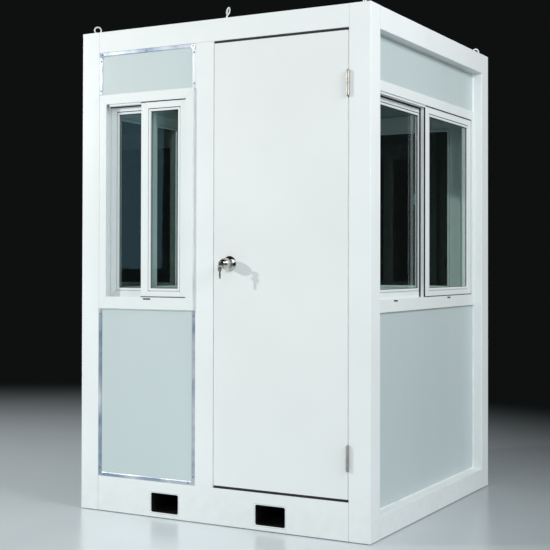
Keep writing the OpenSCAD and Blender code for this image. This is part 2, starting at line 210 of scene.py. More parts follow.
# %% Mitred frames
def mitred(profile, low, high, widths, y, seam=0.5, gap=0.1):
    """Four bars round an opening: bottom, right, top and left. widths is one width, or those of
    the left, right, bottom and top bars. The profile is (share, depth) pairs: the share is 0 at
    a bar's outer edge and 1 at its inner edge, and the depth counts from y. Each point runs
    straight from mitre to mitre. A bar ends a gap short of the mitre and is drawn in over the
    seam, its last bit, so that the joint shows as a fine line."""
    left, right, bottom, top = np.broadcast_to(widths, 4)
    scale = [np.mean(widths), 1]
    small = inset(profile * scale, seam) / scale

    def corner(k, shape, shift):
        x = (low[0] + shape[:, 0] * left, high[0] - shape[:, 0] * right)[k in (1, 2)]
        z = (low[1] + shape[:, 0] * bottom, high[1] - shape[:, 0] * top)[k in (2, 3)]
        return np.stack([x + shift[0], y + shape[:, 1], z + shift[1]], 1)

    bars = []
    for k, way in enumerate(([1, 0], [0, 1], [-1, 0], [0, -1])):
        after, end, seamed = (k + 1) % 4, np.multiply(way, gap), np.multiply(way, gap + seam)
        rings = [corner(k, small, end), corner(k, profile, seamed)]
        rings += [corner(after, profile, -seamed), corner(after, small, -end)]
        bars.append(grid(np.array(rings)))
    return bars


# %% Surfaces in other places
def moved(surfaces, shift=(0, 0, 0), turn=np.eye(3)):
    """The surfaces turned by a matrix about the origin, and then shifted."""
    return [(points @ turn.T + np.array(shift), *rest) for points, *rest in surfaces]


def spin(degrees, axis="Z"):
    """Matrix of a turn about one axis."""
    return np.array(Matrix.Rotation(math.radians(degrees), 3, axis))


WALLS = {"front": 0, "right": 90, "rear": 180, "left": 270}


def on_wall(side, surfaces):
    """Surfaces drawn for the front wall, turned about the cabin's middle to another wall."""
    return moved(surfaces, turn=spin(WALLS[side]))


# %% [markdown]
# ## From arrays to a Blender object
#
# `piece` joins surfaces into one mesh, turns every face outwards, shades it smooth and marks
# edges sharper than an angle. Then it says which body of the cabin the piece moves with, and
# which CAD nodes it stands for. Objects stay at the origin, with their place in their mesh,
# so that patterns in object coordinates stay put when the door swings.


# %% Make a piece
def outwards(mesh, flatten=False):
    """Turns every face outwards. flatten first merges loose triangles into flat faces."""
    bm = bmesh.new()
    bm.from_mesh(mesh)
    if flatten:
        bmesh.ops.remove_doubles(bm, verts=bm.verts, dist=1e-6)
        limit = {"angle_limit": math.radians(1), "use_dissolve_boundaries": False}
        bmesh.ops.dissolve_limit(bm, verts=bm.verts, edges=bm.edges, **limit)
    bmesh.ops.recalc_face_normals(bm, faces=bm.faces)
    bm.to_mesh(mesh)
    bm.free()


def placed(name, mesh, body, materials, nodes):
    """Object with this mesh, on its body and the CAD nodes it stands for."""
    ob = bpy.data.objects.new(name, mesh)
    bpy.context.scene.collection.objects.link(ob)
    for material in materials:
        mesh.materials.append(material)
    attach(ob, body)
    if nodes:
        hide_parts(*nodes)
    return ob


def piece(name, body, surfaces, material, replaces=()):
    """One object from surfaces in millimetres. With several materials, a surface comes with a
    number, or one for each of its faces, that says which material it takes."""
    points, faces, kinds = np.empty((0, 3)), [], []
    for surface in surfaces:
        p, f, k = merged(*surface)
        faces += [[i + len(points) for i in face] for face in f]
        points, kinds = np.concatenate([points, p]), kinds + k
    mesh = bpy.data.meshes.new(name)
    mesh.from_pydata((points * MM).tolist(), [], faces)
    mesh.polygons.foreach_set("material_index", kinds)
    mesh.polygons.foreach_set("use_smooth", np.ones(len(faces), bool))
    outwards(mesh)
    mesh.set_sharp_from_angle(angle=math.radians(32))
    materials = material if isinstance(material, list) else [material]
    ob = placed(name, mesh, body, materials, replaces)
    # Without this, a flat face would be shaded as if it bent towards the small round at its edge.
    ob.modifiers.new("flat faces stay flat", "WEIGHTED_NORMAL").keep_sharp = True
    low, high = np.round([points.min(0), points.max(0)]).astype(int)
    print(f"{name}: {len(faces)} faces, {low} to {high}")


def softened(node, name, body, material, width):
    """Copy of a CAD node, with flat faces and with sharp edges rounded by a Bevel modifier."""
    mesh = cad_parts[node].data.copy()
    mesh.name = name
    mesh.materials.clear()
    outwards(mesh, flatten=True)
    mesh.polygons.foreach_set("use_smooth", np.zeros(len(mesh.polygons), bool))
    ob = placed(name, mesh, body, [material], [node])
    bevel = ob.modifiers.new("round edges", "BEVEL")
    bevel.width, bevel.segments = width * MM, 3
    bevel.limit_method, bevel.angle_limit = "ANGLE", math.radians(50)
    print(f"{name}: {len(mesh.polygons)} flat faces, edges rounded to {width} mm")

# %% [markdown]
# ## Colours and shader nodes
#
# Colours are hex codes, as a paint card would give them, and one function turns them to the
# linear numbers that a renderer counts in. Another adds a shader node with its settings and
# links. The rest name nodes that come up again and again.


# %% Colour and node helpers
def srgb(code):
    """Linear colour of a hex code: undoes the sRGB curve of each channel and adds an alpha of 1."""
    c = np.array([int(code[i : i + 2], 16) for i in (0, 2, 4)]) / 255
    return (*np.where(c <= 0.04045, c / 12.92, ((c + 0.055) / 1.055) ** 2.4), 1.0)


def add(tree, kind, inputs=None, **settings):
    """Adds one shader node with its settings. Each input gets a value, or a link from a socket."""
    made = tree.nodes.new("ShaderNode" + kind)
    for key, value in settings.items():
        setattr(made, key, value)
    for key, value in (inputs or {}).items():
        if isinstance(value, bpy.types.NodeSocket):
            tree.links.new(value, made.inputs[key])
        else:
            made.inputs[key].default_value = value
    return made


def blank(name):
    """A new material, its empty node tree, and the place of a point in object coordinates."""
    material = bpy.data.materials.new(name)
    material.use_nodes = True
    tree = material.node_tree
    tree.nodes.clear()
    return material, tree, add(tree, "TexCoord").outputs["Object"]


def noise(tree, place, size, detail=3.0):
    """Noise in clouds about size millimetres wide."""
    inputs = {"Vector": place, "Scale": 1 / (size * MM), "Detail": detail}
    return add(tree, "TexNoise", inputs).outputs["Fac"]


def mapped(tree, value, low, high, to_low=0.0, to_high=1.0, way="LINEAR"):
    """The value, with low to high carried over to to_low to to_high."""
    inputs = {"Value": value, "From Min": low, "From Max": high}
    inputs |= {"To Min": to_low, "To Max": to_high}
    return add(tree, "MapRange", inputs, interpolation_type=way).outputs[0]


def mixed(tree, share, first, second):
    """Colour between two colours: the first where the share is 0, the second where it is 1."""
    return add(tree, "Mix", {0: share, 6: first, 7: second}, data_type="RGBA").outputs[2]


def relief(tree, height, depth):
    """Normals of a relief that is depth millimetres deep."""
    inputs = {"Height": height, "Distance": depth * MM, "Strength": 1.0}
    return add(tree, "Bump", inputs).outputs[0]


def any_ray(tree, first, *others):
    """1 for every ray of these kinds, and 0 for any other ray."""
    ray = add(tree, "LightPath").outputs
    found = ray[first]
    for kind in others:
        found = add(tree, "Math", {0: found, 1: ray[kind]}, operation="MAXIMUM").outputs[0]
    return found


def switched(tree, share, first, second, output="OutputMaterial"):
    """Ends a tree with two shaders: the first where the share is 0, the second where it is 1."""
    either = add(tree, "MixShader", {0: share, 1: first, 2: second}).outputs[0]
    add(tree, output, {"Surface": either})


def surface(tree, colour, gloss, rough, spread, normal, metallic=0.0):
    """Principled shader whose roughness follows the gloss noise, by the spread up and down."""
    inputs = {"Base Color": colour, "Normal": normal, "Metallic": metallic}
    inputs["Roughness"] = mapped(tree, gloss, 0.3, 0.7, rough - spread, rough + spread)
    add(tree, "OutputMaterial", {"Surface": add(tree, "BsdfPrincipled", inputs).outputs[0]})


# %% [markdown]
# ## Finishes that lie over a whole surface
#
# Paint, powder coat, coil coating, rubber and sealant look alike to a shader: not metal, with
# a colour and a gloss that drift a little, and a fine relief left by the way they were put
# on. `coated` builds that from real sizes: how wide the clouds of colour are, how wide the
# grains of the relief are, and how deep. Grains finer than about 4 mm would vanish at this
# distance, so the orange peel of sprayed parts, 2 to 4 mm wide in life, is drawn 6 mm wide.


# %% A coat of something
def coated(
    name, code, shade, rough, grain, depth, cloud=400, spread=0.05, stretch=(1, 1, 1), dust=None
):
    """Material of a coat. Noise as wide as cloud mixes the colour with its shade, noise a tenth as
    wide moves the roughness by the spread, and noise as wide as grain is the relief, depth mm
    deep. stretch divides the pattern's size along each axis. dust is a colour that settles in
    patches up to 300 mm from the ground."""
    material, tree, place = blank(name)
    lie = add(tree, "Mapping", {"Vector": place, "Scale": stretch}).outputs[0]
    clouds, patches, grains = (noise(tree, lie, size) for size in (cloud, cloud / 10, grain))
    colour = mixed(tree, mapped(tree, clouds, 0.35, 0.65), srgb(code), srgb(shade))
    if dust:
        height = add(tree, "SeparateXYZ", {0: place}).outputs["Z"]
        low = mapped(tree, height, 0.3, 0.0, 0.0, 0.5, "SMOOTHSTEP")
        low = add(tree, "Math", {0: low, 1: patches}, operation="MULTIPLY").outputs[0]
        colour = mixed(tree, low, colour, srgb(dust))
    surface(tree, colour, patches, rough, spread, relief(tree, grains, depth))
    return material


# %% Painted and coated finishes
# Two-pack enamel sprayed on the welded frame: a clean cool white with soft, slightly wavy
# reflections, and a trace of hall dust low down.
ENAMEL = coated(
    "sprayed_enamel_on_steel_tube", "eef4f4", "eaf0f0", 0.46, 6, 0.014, spread=0.03, dust="cfd6d6"
)
# The same enamel over a ground weld, flatter, and made greyer: painted shade that draws the faint
# line of the joint.
WELD_LINE_SHADE = coated("weld_filler_greyed_painted_shade", "cdd5d6", "c3cccd", 0.5, 9, 0.06, cloud=60)
# Polyester coil coating rolled on to steel strip before the panel is pressed: light grey, with
# a very faint streak up the sheet, because the strip runs upright.
COIL = coated(
    "coil_coated_panel_skin", "c8d6d7", "c2d0d1", 0.42, 5, 0.014, cloud=500, stretch=(1, 1, 0.15)
)
# Powder coat on the door's steel skin: a shade deeper than the frame, and a little smoother.
POWDER = coated("powder_coated_door_skin", "edf2f1", "e9eeed", 0.4, 5, 0.02, cloud=600)
# Powder coat on drawn aluminium: the relief is shallower than on sheet.
WINDOW_COAT = coated("powder_coated_aluminium", "ebf1f1", "e7eeee", 0.42, 6, 0.004, spread=0.02)
# Brush paint on forged steel: thick, uneven, with runs that read as soft lumps.
BRUSHED_PAINT = coated("brush_painted_forging", "e9eeec", "d6dad6", 0.45, 5, 0.35, cloud=25)
# White enamel on a zinc casting: glossy over a slightly pitted skin.
CAST_ENAMEL = coated("enamelled_zinc_casting", "dfe5e4", "d3dad9", 0.25, 2.5, 0.05, cloud=40)
# Matt coil coating of the ceiling panel, made mid grey: painted shade for the dim inside of the
# closed cabin. Then the roof sheet's coating after some weather.
CEILING_SHADE = coated("ceiling_skin_painted_shade", "8d9493", "858c8b", 0.55, 5, 0.02)
ROOF_COAT = coated("weathered_roof_sheet", "e4e8e7", "ccd1cf", 0.45, 8, 0.08, cloud=250)

# %% Rubber, sealant and flooring
# Neutral silicone smoothed with a wet finger: bright white, satin, with a slow ripple.
SEALANT = coated("silicone_sealant", "eef2f1", "e2e8e6", 0.38, 14, 0.25, cloud=80)
# EPDM rubber: nearly black, matt, with a bloom of grey.
RUBBER = coated("epdm_rubber", "101212", "1a1c1c", 0.65, 3, 0.05, cloud=40)
# White thermoplastic rubber, as white as the leaf that it seals.
WHITE_SEAL = coated("white_sealing_profile", "f0f4f4", "e6ebeb", 0.6, 3, 0.03, cloud=60)
# The pile of the windows' brush seals: charcoal polypropylene, matt as felt.
PILE = coated("polypropylene_brush_pile", "17191a", "232627", 0.9, 2, 0.2, cloud=20)
# Moulded nylon, half matt as it comes from the mould, and black: on the drain caps it is painted
# shade for the dark inside of the drain slots.
SLOT_SHADE_NYLON = coated("black_nylon_painted_slot_shade", "0c0e0e", "151717", 0.5, 2, 0.03, cloud=20)
# Mill scale inside the tube of the fork pockets, with the first bloom of rust, made near black:
# painted shade for the unlit inside of the tube.
MILL_SCALE_AND_SHADE = coated("mill_scale_and_painted_shade", "0f1213", "1c1a18", 0.6, 4, 0.12, cloud=90)
# Sheet vinyl on board: mid grey, satin, with an embossed grain.
VINYL = coated("sheet_vinyl_floor", "73787c", "666b70", 0.42, 4, 0.08, cloud=150, spread=0.08)
print("coated finishes:", len(bpy.data.materials))

# %% [markdown]
# ## Bare metal
#
# A metal has no colour under its surface: what gives it a colour is how it mirrors the room.
# Drawing and brushing leave fine lines one way, so the noise that moves gloss and relief is
# stretched along them.


# %% A metal with lines
def drawn(name, code, shade, rough, line, depth, spread=0.06, tarnish_and_reflection=30, metallic=1.0):
    """Bare metal. Noise as large as line says, in mm along x, y and z, moves the roughness by the
    spread and gives a relief depth mm deep. Noise as wide as the tarnish size, in mm, mixes in a
    shade: tarnish on most metals, and painted reflections of the room on the aluminium strip."""
    material, tree, place = blank(name)
    size = tuple(1 / (mm * MM) for mm in line)
    lie = add(tree, "Mapping", {"Vector": place, "Scale": size}).outputs[0]
    lines = noise(tree, lie, 1 / MM, 4.0)  # lie counts in lines, so there is one to each unit
    tone = mapped(tree, noise(tree, place, tarnish_and_reflection), 0.35, 0.65)
    colour = mixed(tree, tone, srgb(code), srgb(shade))
    surface(tree, colour, lines, rough, spread, relief(tree, lines, depth), metallic)
    return material


# Rolled aluminium strip: pale and cool, without a line that can be seen. Its blue-grey patches
# are painted reflections of the room. Lacquer and oxide dull the mirror, so it is only three
# quarters metallic.
STRIP = drawn(
    "aluminium_strip_painted_reflections", "eaf0f6", "8299b4", 0.42, (40, 40, 40), 0.03, 0.04, 160, 0.75
)
# Aluminium pop rivets, duller than the strip.
RIVET = drawn("aluminium_rivet", "8f9498", "6f7478", 0.32, (3, 3, 3), 0.05, tarnish_and_reflection=6)
# Stainless steel brushed upright: warmer and darker than aluminium, with a long soft glint.
BRUSHED = drawn("brushed_stainless_steel", "cbcac4", "b4b1a9", 0.5, (0.8, 0.8, 30), 0.02)
# Stainless steel turned and polished: a clear dark mirror.
POLISHED = drawn("polished_stainless_steel", "c9c8c3", "bab8b0", 0.13, (2, 20, 2), 0.004, 0.03)
# Nickel plate on brass keys: softly worn, with the brass just showing through.
NICKEL = drawn("nickel_plated_brass", "8f9390", "7b776a", 0.3, (1, 6, 1), 0.02, tarnish_and_reflection=12)

# %% [markdown]
# ## Window glass
#
# The panes are 5 mm clear float glass. The iron in it makes it faintly green, twice over
# because light passes two faces, so each face takes half of the tint. Glass would stop
# shadow rays and rays of bounced light. For those, Light Path swaps it for a clear film,
# tinted a little on each face, and daylight reaches the inside.


# %% Float glass
def float_glass(name, tint, film):
    """Glass with the tint of one face, and a clear film of its own tint for shadow and diffuse
    rays."""
    material, tree, place = blank(name)
    # Rolling leaves a slow ripple, about 60 mm from crest to crest.
    wave = noise(tree, place, 60, 1.0)
    glass = {"Base Color": srgb(tint), "Transmission Weight": 1.0, "IOR": 1.5}
    glass |= {"Normal": relief(tree, wave, 0.02)}
    glass |= {"Roughness": mapped(tree, wave, 0.4, 0.7, 0.01, 0.03)}
    glass = add(tree, "BsdfPrincipled", glass).outputs[0]
    clear = add(tree, "BsdfTransparent", {"Color": srgb(film)}).outputs[0]
    switched(tree, any_ray(tree, "Is Shadow Ray", "Is Diffuse Ray"), glass, clear)
    return material


GLASS = float_glass("green_tinted_float_glass", "e8f3f0", "ecf4f2")

# %% [markdown]
# ## The welded frame
#
# The cabin's strength is a cage of 100 mm square steel tube: four posts that run the full
# height, with top rails and base rails welded between them. Such tube is rolled from strip,
# so its long edges are never sharp: a radius of about 3 mm catches the light as a thin
# bright line, which makes the white frame readable. Each tube is one `bar`. The posts' ends
# are closed by a cap that is ground off, so they are only slightly rounded.

# %% Posts and top rails
EDGE = 3.0  # radius of the tube's long edges
ALONG = {"front": 0, "rear": 0, "left": 1, "right": 1}  # axis that each wall runs along


def box_tube(name, node, along, end=0.2):
    """Length of box tube in place of a CAD node."""
    tube = bar(*corners(node), along, EDGE, end)
    piece(name, "cabin", [tube], ENAMEL, [node])


for place in ("front_left", "front_right", "rear_left", "rear_right"):
    box_tube("post_" + place, "corner_post_" + place, 2, end=1.2)
for wall, along in ALONG.items():
    box_tube("rail_top_" + wall, "top_rail_" + wall, along)

# %% [markdown]
# The side walls' base rails are plain tube. The front and rear ones are deeper and have two
# openings for the fork pockets, which also run through the bearer under the floor, and the
# mullion beside the door has pockets for its strike plate. A shape with openings isn't an
# outline along a line. So here the CAD node's own mesh is copied, its loose triangles are
# merged, and a Bevel modifier rounds its edges.

# %% Base rails, bearer and mullion
for wall in ("left", "right"):
    box_tube("rail_base_" + wall, "base_rail_" + wall, 1)
for name, node, radius in (
    ("rail_base_front", "base_rail_front", 2),
    ("rail_base_rear", "base_rail_rear", 2),
    ("bearer", "floor_bearer", 2),
    ("mullion", "door_mullion", 1.6),
):
    softened(node, name, "cabin", ENAMEL, radius)

# %% [markdown]
# The fork pockets are rectangular tubes that run right through the cabin, so that a forklift
# can lift it from the front or the rear. Their ends are white like the frame, but nobody
# sprays a metre and a half down a tube: inside is bare mill scale, coloured near black as
# painted shade for the unlit depth of the tube, so the openings look black. The outline goes
# along the outside, turns round at the lip and comes back inside, which gives the tube its
# real wall. A second material takes the inside.

# %% Fork pockets
(_, _, POCKET_Z0), (POCKET_X1, _, POCKET_Z1) = corners("fork_pockets")
POCKET_MID, POCKET_WALL, POCKET_R, LIP = 275, 4, 8, 0.8
PAINTED = 4  # how far the frame's paint reaches into the tube
# The weld round each end is ground nearly flush: a flat bead 7 mm wide, just under the face,
# greyer than the enamel as painted shade along the joint.
WELD, WELD_DEPTH = circle(3.5, 8) * [1, 0.06], 0.22
tubes, beads = [], []
for mid in (-POCKET_MID, POCKET_MID):
    half = POCKET_X1 - POCKET_MID
    outer = rectangle((mid - half, POCKET_Z0), (mid + half, POCKET_Z1), 2)
    half -= POCKET_WALL
    low, high = POCKET_Z0 + POCKET_WALL, POCKET_Z1 - POCKET_WALL
    inner = rectangle((mid - half, low), (mid + half, high), POCKET_R)
    # Rings over the lip and into the tube at the front, the same at the rear, and back.
    rows = [(outer, 0, LIP - HALF), (outer, LIP, -HALF), (inner, -LIP, -HALF)]
    rows += [(inner, 0, LIP - HALF), (inner, 0, PAINTED - HALF)]
    inside = len(rows) - 1  # the faces after this ring run down the tube
    rows += [(line, draw, -y) for line, draw, y in rows[::-1]]
    rows.append(rows[0])
    kinds = np.repeat(np.arange(len(rows) - 1) == inside, len(outer)).astype(int)
    tubes.append((*stacked(rows, 1, caps=False), kinds))
    for y in (WELD_DEPTH - HALF, HALF - WELD_DEPTH):
        path = np.insert(inset(outer, -0.5), 1, y, axis=1)
        beads.append(carried(WELD, path, (0, 1, 0), closed=True))
# The inside's near black is painted shade down the tube.
piece("fork_pocket_tubes", "cabin", tubes, [ENAMEL, MILL_SCALE_AND_SHADE], ["fork_pockets"])

# %% [markdown]
# Where a rail meets a post, the welder fills the groove between them, grinds the weld flat
# and rubs filler over it. After painting only a faint upright line is left. Each line here
# is a low strip in the groove of the rounded edge, a quarter of a millimetre below the faces
# beside it, drawn for the front wall and turned to the others. The strips are greyer than
# the enamel: painted shade that draws the faint line of the joint.

# %% Ground welds
STRIP_W, SUNK = 3.2, 0.25  # half a line's width, and how far it lies below the faces
for wall in WALLS:
    base_top = corners("base_rail_" + wall)[1][2]
    lines = []
    for x in (POST_W - HALF, HALF - POST_W):
        x0, x1 = x - STRIP_W, x + STRIP_W
        for low, high in ((0.3, base_top - 1), (RAIL_Z + 1, TOP - 1)):
            lines.append(bar((x0, SUNK - HALF, low), (x1, 4 - HALF, high), 2, 0.4, 0.2))
        low, high = (x0, 1 - HALF, TOP - 4), (x1, POST_W - HALF, TOP - SUNK)
        lines.append(bar(low, high, 1, 0.4, 0.2))
    beads += on_wall(wall, lines)
# The filler's grey is painted shade for the line of each joint.
piece("ground_welds", "cabin", beads, WELD_LINE_SHADE)

# %% [markdown]
# ## Wall panels
#
# The walls are sandwich panels: two steel skins glued to 50 mm of foam. Foam swells and
# glue pulls, so a skin stands a little prouder in the middle than along its edges, and a
# long reflection bends over it. The panel is a stack of its own outline, drawn in ring by
# ring towards the middle. A ring at the distance d from the edge lies
# bulge * (1 - d / reach) squared below the crest.


# %% A panel with gently bulging skins
def wall_panel(low, high, along, bulge=0.7, reach=230.0, edge=1.5):
    """Sandwich panel between two corners, with its thickness along one axis. Its edges are
    rounded by the radius edge."""
    small, big = low[across(along)], high[across(along)]
    reach = min(reach, 0.45 * (big - small).min())
    t = np.linspace(0, np.pi / 2, 4)
    d = np.append(np.multiply([1, 0.75, 0.5, 0.3, 0.12], reach), [8.0, 4.0])
    sunk = np.append(bulge * (1 - d / reach) ** 2, bulge + edge * (1 - np.cos(t)))
    d = np.append(d, edge * (1 - np.sin(t)))
    rings = [(rectangle(small + s, big - s, max(2.5 - s, 0.2)), deep) for s, deep in zip(d, sunk)]
    steps = [(ring, 0, low[along] + s) for ring, s in rings]
    return stacked(steps + [(ring, 0, high[along] - s) for ring, s in rings[::-1]], along)


for wall, along in ALONG.items():
    for level in ("lower", "upper"):
        node = f"{wall}_panel_{level}"
        panel = wall_panel(*corners(node), 1 - along)
        piece(f"panel_{wall}_{level}", "cabin", [panel], COIL, [node])

# %% [markdown]
# ## Trims of the front panels
#
# Bright aluminium strip, 18 mm wide, closes off the front panels. Its outer part lies flat
# against the frame, and its inner flank slopes down to the panel. The flank mirrors another
# part of the room than the flat, so the strip looks two-toned. The strips meet in mitres and
# are fixed with pop rivets, and at the top corners a small folded tab covers the joint.

# %% Strips and tabs
(PANEL_X0, FACE, PANEL_Z0), (PANEL_X1, _, PANEL_Z1) = corners("front_panel_lower")
UPPER_Z0, UPPER_Z1 = (corner[2] for corner in corners("front_panel_upper"))
TRIM_W, TRIM_T = 18.0, FACE + HALF  # FACE is where the panels' outer faces lie
strip = [(0.3, 0), (0.3, -TRIM_T), (14.5, -TRIM_T), (TRIM_W, -0.4), (TRIM_W, 0)]
strip = fillet(strip, 0.25, 2) / [TRIM_W, 1]
lower = mitred(strip, (PANEL_X0, PANEL_Z0), (PANEL_X1, PANEL_Z1 + TRIM_W), TRIM_W, FACE)
upper = mitred(strip, (PANEL_X0, UPPER_Z0 - TRIM_W), (PANEL_X1, UPPER_Z1), TRIM_W, FACE)


def cut_off(surface, low_z, high_z):
    """The surface with its points kept between two heights, so that a strip ends square."""
    points, faces = surface
    return np.clip(points, (-HALF, -HALF, low_z), (HALF, HALF, high_z)), faces


# Bars are in the order bottom, right, top, left. The side where the window stands has none.
trims = [lower[0], *(cut_off(lower[k], PANEL_Z0, PANEL_Z1 - 0.3) for k in (1, 3))]
trims += [upper[2], *(cut_off(upper[k], UPPER_Z0 + 0.3, UPPER_Z1) for k in (1, 3))]
TAB = [(1.5, 3), (33, 3), (28, 15), (14, 27), (3, 21)]  # from the corner: inwards and down
for x, way in ((PANEL_X0, 1), (PANEL_X1, -1)):
    tab = [(x + way * a, UPPER_Z1 - b) for a, b in TAB]
    plate = prism(fillet(tab, 1.2), -HALF - 0.9, -HALF + 1.2, along=1, end=0.3)
    # Bent by hand, so it stands a few degrees askew.
    tilt = spin(4 * way, "Z") @ spin(-3, "X")
    centre = np.array([x + way * 14, -HALF, UPPER_Z1 - 12])
    trims += moved(moved([plate], -centre), centre, tilt)
# The strip's blue-grey patches are painted reflections of the room.
piece("aluminium_strips", "cabin", trims, STRIP, ["front_panel_trims"])

# %% Pop rivets
# The head is a flat dome with the broken stem sunk in its middle. Each pair says how far in
# from the panel's left and right sides, and at what height.
head = [(0, 0.6), (0.9, 0.6), (1.2, 1.1), (2.0, 1.4), (3.2, 1.05), (3.8, 0.45), (3.9, 0)]
pairs = [(9, 9, z) for z in (PANEL_Z0 + 38, PANEL_Z1 - 26, UPPER_Z0 + 22, UPPER_Z1 - 40)]
pairs += [(34, 36, PANEL_Z0 + 9), (15, 15, UPPER_Z1 - 11)]
spots = [(x, z) for left, right, z in pairs for x in (PANEL_X0 + left, PANEL_X1 - right)]
spots.append(((PANEL_X0 + PANEL_X1) / 2, UPPER_Z1 - 9))
rivets = [turned(head, (x, -HALF - 0.2, z), (0, -1, 0), 20) for x, z in spots]
piece("pop_rivets", "cabin", rivets, RIVET)

# %% [markdown]
# ## Sliding windows
#
# Each window is a fixed frame with two tracks and two sashes: the outer sash at the right,
# the inner one at the left, with their stiles overlapping in the middle. All of it is
# extruded aluminium, cut at 45 degrees. `mitred` carries one section round the opening, and
# lets the jambs, the head and the sill have their own widths. The section goes in and out to
# form the lips and the tracks between them, so the grooves are really there, and dark.

# %% Window frame
LIPS = (4, 33, 37, 66, 70)  # depths at which the lips and tracks of the frame begin and end
TRACK = 0.78  # share of a jamb's width at which its track has its bottom
frame_section = [(0, 0), (1, 0), (1, LIPS[0]), (TRACK, LIPS[0]), (TRACK, LIPS[1]), (1, LIPS[1])]
frame_section += [(1, LIPS[2]), (TRACK, LIPS[2]), (TRACK, LIPS[3]), (1, LIPS[3])]
frame_section += [(1, LIPS[4]), (0, LIPS[4])]
WIDTH = 44.0  # a middling width, at which the section's corners are rounded
frame_section = fillet(np.multiply(frame_section, (WIDTH, 1)), 0.8, 2) / (WIDTH, 1)
JAMB, HEAD, SILL = 38.0, 44.0, 55.0


def windows():
    """For each wall, its name and its window's middle, half width, heights of foot and top, and
    outer face, with the wall turned to the front."""
    for wall in WALLS:
        low, high = corners("window_frame_" + wall)
        along, out = ALONG[wall], 1 - ALONG[wall]
        middle, half = (low[along] + high[along]) / 2, (high[along] - low[along]) / 2
        yield wall, middle, half, low[2], high[2], -min(abs(low[out]), abs(high[out])) - LIPS[4]


for wall, mid, half, z0, z1, y in windows():
    bars = mitred(frame_section, (mid - half, z0), (mid + half, z1), (JAMB, JAMB, SILL, HEAD), y)
    name, node = "window_frame_of_" + wall, "window_frame_" + wall
    piece(name, "cabin", on_wall(wall, bars), WINDOW_COAT, [node])

# %% [markdown]
# A sash is a smaller section: a flat, a narrow groove, and then the bead that holds the
# glass, which slopes in towards the pane. The groove is the line that shows on every side
# of the glass. Rubber gaskets hold the pane on both faces, and a rubber cord fills the
# groove at the head. Brush seals lie along the sill and the heads of the sashes, and two run
# up the middle, where the stiles hook into each other. While the window is closed, the left
# half of the outer track is empty: a filler strip covers it at the head.

# %% Sashes
SASH_W, SASH_T, PLAY, LAP = 52.0, 25.0, 2.0, 6.0
SILL_LAP = 11  # how deep a sash stands in the sill, against LAP at the head and the jambs
GLASS_Y = ((10, -1), (15, 1))  # depths of the pane's faces in the sash, and the ways out of them
outer_half = [(0, 0), (38.6, 0), (38.6, 7), (42.2, 7), (42.2, 0.4), (50.5, 0.8), (SASH_W, 2.6)]
inner_half = [(a, SASH_T - v) for a, v in outer_half[::-1]]
channel = [(0, 10.5), (6.5, 10.5), (6.5, 2.2), (0, 2.2)]  # in the edge that runs on the track
rounds = [0.8, 0.3, 0.2, 0.2, 0.5, 0.6, 0.6]
sash_section = fillet(outer_half + inner_half + channel, rounds + rounds[::-1] + [0.3] * 4, 2)
sash_section = sash_section / (SASH_W, 1)
gasket = [(0.4, 0.2), (-1.4, 0.2), (-1.9, 1.0), (-1.2, 2.2), (0.4, 2.4)]
cord = [(38.7, 2.4), (42.1, 2.4), (42.1, 6.9), (38.7, 6.9)]
cord = np.divide(fillet(cord, [1, 1, 0.2, 0.2], 2), (SASH_W, 1))


def upright_loop(x0, x1, z0, z1, y):
    """Corners of a rectangle that stands at the depth y."""
    return [(x0, y, z0), (x1, y, z0), (x1, y, z1), (x0, y, z1)]


gaskets, seals, fillers = [], [], []
for wall, mid, half, z0, z1, y in windows():
    left, right, edge = mid - half + JAMB, mid + half - JAMB, mid - SASH_W / 2
    sill, head = z0 + SILL, z1 - HEAD
    # Each brush seal: from and to along the wall, in depth behind a lip, and in height.
    outer, inner = y + LIPS[0], y + LIPS[2]
    runs = [(edge - 1, right, outer + 0.1, outer + 1.9, z, z + 7) for z in (sill - 3, head - 4)]
    runs += [(left, edge - 1, inner + 0.1, inner + 1.9, head - 14, head + 3)]
    runs += [(edge + 2.5, edge + 6.2, outer + 4.6, outer + 12.2, sill + 1, head - 1)]
    runs += [(edge + 0.8, edge + 6, outer + 27.2, inner + 1.9, sill + 1, head - 1)]
    for x0, x1, near, far, low, high in runs:
        along = 2 if high - low > 20 else 0
        seals += on_wall(wall, [bar((x0, near, low), (x1, far, high), along, 0.4, 0.3)])
    low, high = (left + 15, y + 5.5, head - 10), (edge - 1.5, y + 30, head + 3)
    fillers += on_wall(wall, [bar(low, high, 0, 0.8, 0.4)])
    reach, bottom, top = half - JAMB + LAP, sill - SILL_LAP, head + LAP
    bars = []
    for x0, x1, face in (
        (edge, mid + reach, outer + PLAY),
        (mid - reach, mid + SASH_W / 2, inner + PLAY),
    ):
        low, high = (x0, bottom), (x1, top)
        bars += mitred(sash_section, low, high, SASH_W, face)
        pane = (x0 + SASH_W, x1 - SASH_W, bottom + SASH_W, top - SASH_W)
        for depth, way in GLASS_Y:
            lip, path = np.multiply(gasket, (-way, 1)), upright_loop(*pane, face + depth)
            gaskets += on_wall(wall, [carried(lip, path, (0, way, 0), closed=True)])
        gaskets += on_wall(wall, mitred(cord, low, high, SASH_W, face)[2:3])
    name, node = "sashes_of_" + wall, "window_sashes_" + wall
    piece(name, "cabin", on_wall(wall, bars), WINDOW_COAT, [node])
piece("glazing_gaskets", "cabin", gaskets, RUBBER)
piece("brush_seals", "cabin", seals, PILE)
piece("head_fillers", "cabin", fillers, WINDOW_COAT)
